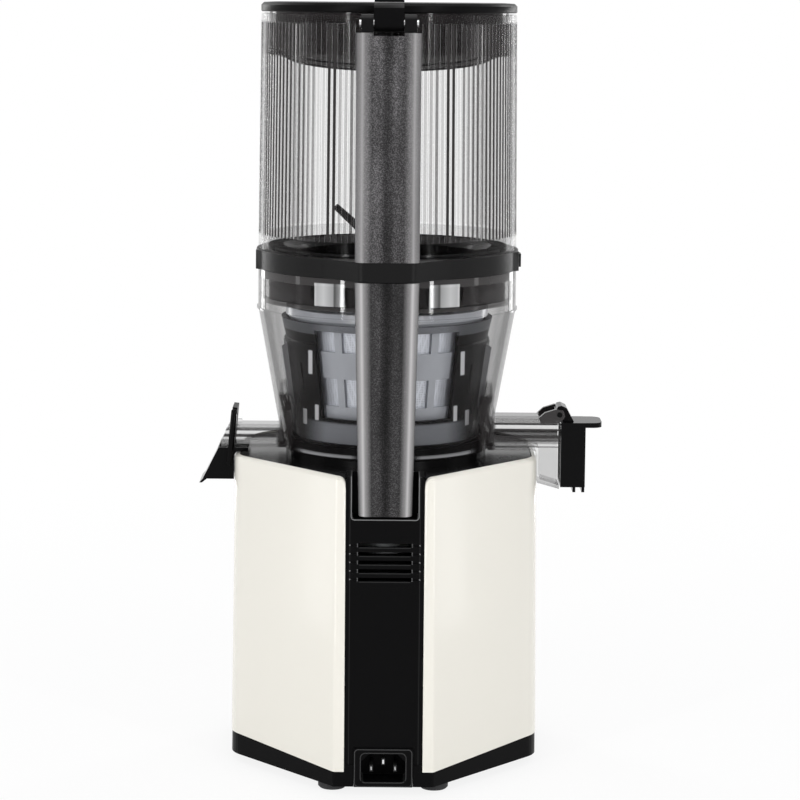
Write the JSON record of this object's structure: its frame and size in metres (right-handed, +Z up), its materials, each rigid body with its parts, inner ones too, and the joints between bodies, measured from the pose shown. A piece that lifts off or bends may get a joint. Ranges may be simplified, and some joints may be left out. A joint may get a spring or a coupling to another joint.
{
  "type": "cold press juicer",
  "caption": "Tall upright slow juicer: drafted housing, tapered see-through drum with strainer and auger, fluted hopper with hinged lid, juice spout with flip cap and pulp spout.",
  "frame": {"origin": "the point of the standing surface under the auger's axis, between the four feet", "axes": "+Z up along the auger's axis, -Y towards the user's side with the knob, +Y towards the rear with the power inlet, +X towards the pulp spout"},
  "size_m": [0.2453, 0.1979, 0.4639],
  "materials": {
    "rubber": "matt black rubber",
    "black_plastic": "satin black moulded plastic",
    "gloss_black": "polished black moulded plastic",
    "cream_paint": "cream satin gloss moulding",
    "knob_metal": "satin metal look",
    "smoke_clear": "smoke tinted clear plastic",
    "smoke_dark": "dark smoke clear plastic",
    "speckled_dark": "dark grey plastic with fine metallic speckle",
    "black_inner": "dark moulded plastic",
    "blue_grey": "blue-grey moulded plastic",
    "silicone": "grey silicone",
    "steel": "plain steel",
    "motor_grey": "dark grey motor can",
    "gearbox_alloy": "cast light alloy",
    "gear_nylon": "natural nylon",
    "board_green": "circuit board laminate"
  },
  "bodies": {
    "base": {"feet": "rubber", "base_tray": "black_plastic", "body_shell": "cream_paint", "rear_spine": "black_plastic", "top_deck": "gloss_black", "power_inlet": "gloss_black", "inlet_blades": "steel", "tray_screws": "steel", "power_board": "board_green", "motor": "motor_grey", "gearbox_plate": "gearbox_alloy", "gearbox_cover": "gearbox_alloy", "gearbox_screws": "steel", "shaft_bearing": "steel", "shaft_seal": "rubber", "control_board": "board_green", "rotary_switch": "black_plastic"},
    "rotor": {"motor_rotor": "steel", "cooling_fan": "gear_nylon"},
    "intermediate": {"intermediate_gear": "gear_nylon"},
    "drive": {"drive_gear": "gear_nylon", "drive_shaft": "steel"},
    "knob": {"control_knob": "knob_metal"},
    "drum": {"drum_bowl": "smoke_clear", "drum_floor": "gloss_black", "drum_seal": "silicone", "drum_handle": "speckled_dark", "pulp_chute": "black_plastic", "cap_pin": "steel", "strainer_frame": "blue_grey", "strainer_mesh": "steel"},
    "gate": {"pulp_gate": "black_plastic"},
    "cap": {"juice_cap": "gloss_black", "cap_plug": "silicone"},
    "idler": {"cage_idler": "gear_nylon"},
    "cage": {"wiper_cage": "black_inner", "wiper_blades": "silicone"},
    "screw": {"auger": "black_inner", "auger_wing": "gloss_black", "drive_socket": "steel"},
    "hopper": {"hopper_collar": "black_plastic", "hopper_skirt": "smoke_dark", "hopper_floor": "black_inner", "hopper_wall": "smoke_clear", "hopper_handle": "speckled_dark", "latch_catch": "gloss_black", "lid_pin": "steel"},
    "lid": {"lid_plate": "gloss_black", "lid_ring": "smoke_dark", "latch_pin": "steel"},
    "latch": {"lid_latch": "gloss_black"}
  },
  "joints": [
    {"name": "auger_spin", "type": "hinge", "parent": "drum", "child": "screw", "pos_m": [0, 0, 0.1918], "axis": [0, 0, 1], "continuous": true},
    {"name": "shaft_spin", "type": "hinge", "parent": "base", "child": "drive", "pos_m": [0, 0, 0.189], "axis": [0, 0, 1], "continuous": true},
    {"name": "intermediate_spin", "type": "hinge", "parent": "base", "child": "intermediate", "pos_m": [-0.0297, -0.0297, 0.15], "axis": [0, 0, 1], "continuous": true},
    {"name": "motor_spin", "type": "hinge", "parent": "base", "child": "rotor", "pos_m": [0, 0, 0.1], "axis": [0, 0, 1], "continuous": true},
    {"name": "cage_spin", "type": "hinge", "parent": "drum", "child": "cage", "pos_m": [0, 0, 0.1918], "axis": [0, 0, 1], "continuous": true},
    {"name": "idler_spin", "type": "hinge", "parent": "drum", "child": "idler", "pos_m": [0, -0.033, 0.2018], "axis": [0, 0, 1], "continuous": true},
    {"name": "knob_turn", "type": "hinge", "parent": "base", "child": "knob", "pos_m": [0, -0.085, 0.11], "axis": [0, -1, 0], "range_deg": [-40, 40]},
    {"name": "drum_lift", "type": "slide", "parent": "base", "child": "drum", "axis": [0, 0, 1], "range_m": [0, 0.06]},
    {"name": "gate_slide", "type": "slide", "parent": "drum", "child": "gate", "axis": [-0.0872, 0, 0.9962], "range_m": [0, 0.012]},
    {"name": "cap_hinge", "type": "hinge", "parent": "drum", "child": "cap", "pos_m": [-0.1057, 0, 0.213], "axis": [0, 1, 0], "range_deg": [0, 95]},
    {"name": "hopper_lift", "type": "slide", "parent": "drum", "child": "hopper", "axis": [0, 0, 1], "range_m": [0, 0.06]},
    {"name": "lid_hinge", "type": "hinge", "parent": "hopper", "child": "lid", "pos_m": [0, 0.0885, 0.4498], "axis": [-1, 0, 0], "range_deg": [0, 95]},
    {"name": "latch_press", "type": "hinge", "parent": "lid", "child": "latch", "pos_m": [0, -0.0732, 0.4586], "axis": [-1, 0, 0], "range_deg": [0, 14], "stiffness_Nm_per_rad": 0.05}
  ],
  "couplings": [
    {"joint": "shaft_spin", "follows": "auger_spin", "ratio": 1},
    {"joint": "intermediate_spin", "follows": "auger_spin", "ratio": -3},
    {"joint": "motor_spin", "follows": "auger_spin", "ratio": 9},
    {"joint": "idler_spin", "follows": "auger_spin", "ratio": -1.2},
    {"joint": "cage_spin", "follows": "auger_spin", "ratio": -0.375}
  ]
}
